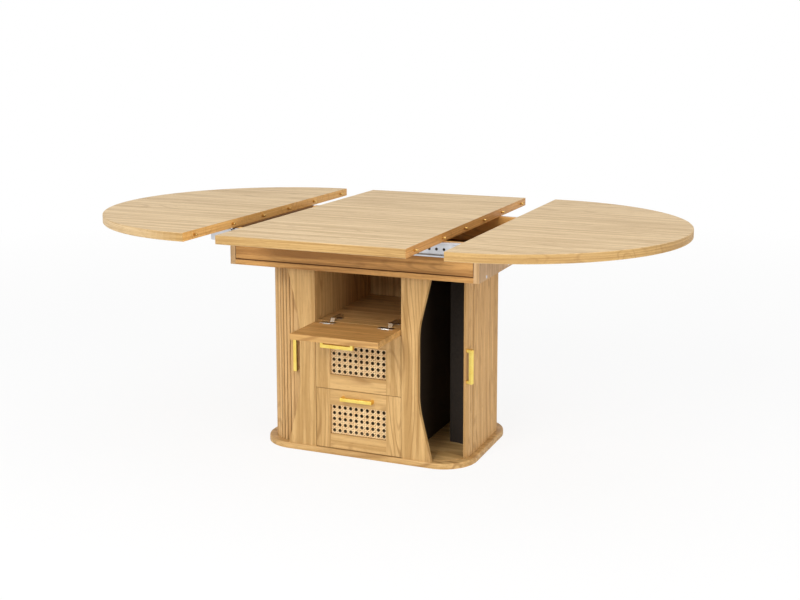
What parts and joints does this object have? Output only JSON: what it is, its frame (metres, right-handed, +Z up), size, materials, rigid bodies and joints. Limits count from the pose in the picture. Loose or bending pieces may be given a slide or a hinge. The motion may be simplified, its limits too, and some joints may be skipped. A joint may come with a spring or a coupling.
{
  "type": "extending dining table",
  "caption": "Oval extending dining table on a storage pedestal with sliding half tops, a lift-out leaf, tambour corner doors, a drop flap and cane-front drawers.",
  "frame": {"origin": "on the floor under the centre of the table", "axes": "+X along the table towards the half whose edge has sockets, front with drawers faces -Y, +Z up"},
  "size_m": [1.9698, 1.142, 0.75],
  "materials": {
    "oak_top": "satin light oak",
    "oak_apron": "satin oak",
    "oak_cabinet": "satin oak",
    "oak_slat": "satin oak",
    "drawer_board": "matt",
    "cane": "matt woven cane",
    "canvas_backing": "canvas",
    "gold_handle": "brushed gold",
    "brass_pin": "satin",
    "zinc_steel": "zinc plated",
    "nickel_hinge": "nickel plated"
  },
  "bodies": {
    "pedestal": {"plinth": "oak_cabinet", "divider_left": "oak_cabinet", "divider_right": "oak_cabinet", "back_panel": "oak_cabinet", "bay_shelf": "oak_cabinet", "front_panel_left": "oak_cabinet", "front_panel_right": "oak_cabinet", "end_slats_left": "oak_slat", "end_backing_left": "canvas_backing", "end_slats_right": "oak_slat", "end_backing_right": "canvas_backing", "apron_bottom": "oak_apron", "apron_front": "oak_apron", "apron_back": "oak_apron", "apron_side_left": "oak_apron", "apron_side_right": "oak_apron", "apron_screws": "zinc_steel", "slide_batten_front": "oak_apron", "slide_batten_back": "oak_apron", "slide_outers": "zinc_steel", "drawer_runners_fixed": "zinc_steel", "flap_hinge_arms": "nickel_hinge"},
    "left_half": {"half_top_left": "oak_top", "cleats_left": "zinc_steel", "slide_inners_left": "zinc_steel", "half_pins_left": "brass_pin"},
    "right_half": {"half_top_right": "oak_top", "cleats_right": "zinc_steel", "slide_inners_right": "zinc_steel"},
    "left_middles": {"slide_middles_left": "zinc_steel"},
    "right_middles": {"slide_middles_right": "zinc_steel"},
    "leaf": {"centre_leaf": "oak_top", "leaf_pins": "brass_pin"},
    "flap": {"flap_door": "oak_cabinet", "flap_handle": "gold_handle", "flap_hinge_cups": "nickel_hinge"},
    "upper_drawer": {"upper_front_stiles": "oak_cabinet", "upper_front_rails": "oak_cabinet", "upper_cane": "cane", "upper_box_sides": "drawer_board", "upper_box_back": "drawer_board", "upper_box_bottom": "drawer_board", "upper_handle": "gold_handle", "upper_runners": "zinc_steel"},
    "lower_drawer": {"lower_front_stiles": "oak_cabinet", "lower_front_rails": "oak_cabinet", "lower_cane": "cane", "lower_box_sides": "drawer_board", "lower_box_back": "drawer_board", "lower_box_bottom": "drawer_board", "lower_handle": "gold_handle", "lower_runners": "zinc_steel"},
    "left_door": {"door_slats_left": "oak_slat", "door_backing_left": "canvas_backing", "door_lead_left": "oak_slat", "door_handle_left": "gold_handle"},
    "right_door": {"door_slats_right": "oak_slat", "door_backing_right": "canvas_backing", "door_lead_right": "oak_slat", "door_handle_right": "gold_handle"}
  },
  "joints": [
    {"name": "left_half_slide", "type": "slide", "parent": "pedestal", "child": "left_half", "axis": [1, 0, 0], "range_m": [0, 0.1115]},
    {"name": "right_half_slide", "type": "slide", "parent": "pedestal", "child": "right_half", "axis": [-1, 0, 0], "range_m": [0, 0.1115]},
    {"name": "left_middle_slide", "type": "slide", "parent": "pedestal", "child": "left_middles", "axis": [1, 0, 0], "range_m": [0, 0.0558]},
    {"name": "right_middle_slide", "type": "slide", "parent": "pedestal", "child": "right_middles", "axis": [-1, 0, 0], "range_m": [0, 0.0558]},
    {"name": "leaf_lift", "type": "slide", "parent": "pedestal", "child": "leaf", "axis": [0, 0, 1], "range_m": [0, 0.25]},
    {"name": "flap_hinge", "type": "hinge", "parent": "pedestal", "child": "flap", "pos_m": [0, -0.2256, 0.422], "axis": [-1, 0, 0], "range_deg": [0, 90]},
    {"name": "upper_drawer_slide", "type": "slide", "parent": "pedestal", "child": "upper_drawer", "axis": [0, -1, 0], "range_m": [0, 0.112]},
    {"name": "lower_drawer_slide", "type": "slide", "parent": "pedestal", "child": "lower_drawer", "axis": [0, -1, 0], "range_m": [0, 0.25]},
    {"name": "left_door_turn", "type": "hinge", "parent": "pedestal", "child": "left_door", "pos_m": [-0.2445, -0.1185, 0], "axis": [0, 0, -1], "range_deg": [-5, 82]},
    {"name": "right_door_turn", "type": "hinge", "parent": "pedestal", "child": "right_door", "pos_m": [0.2445, -0.1185, 0], "axis": [0, 0, -1], "range_deg": [0, 87]}
  ],
  "couplings": [
    {"joint": "left_middle_slide", "follows": "left_half_slide", "ratio": 0.5},
    {"joint": "right_middle_slide", "follows": "right_half_slide", "ratio": 0.5}
  ]
}
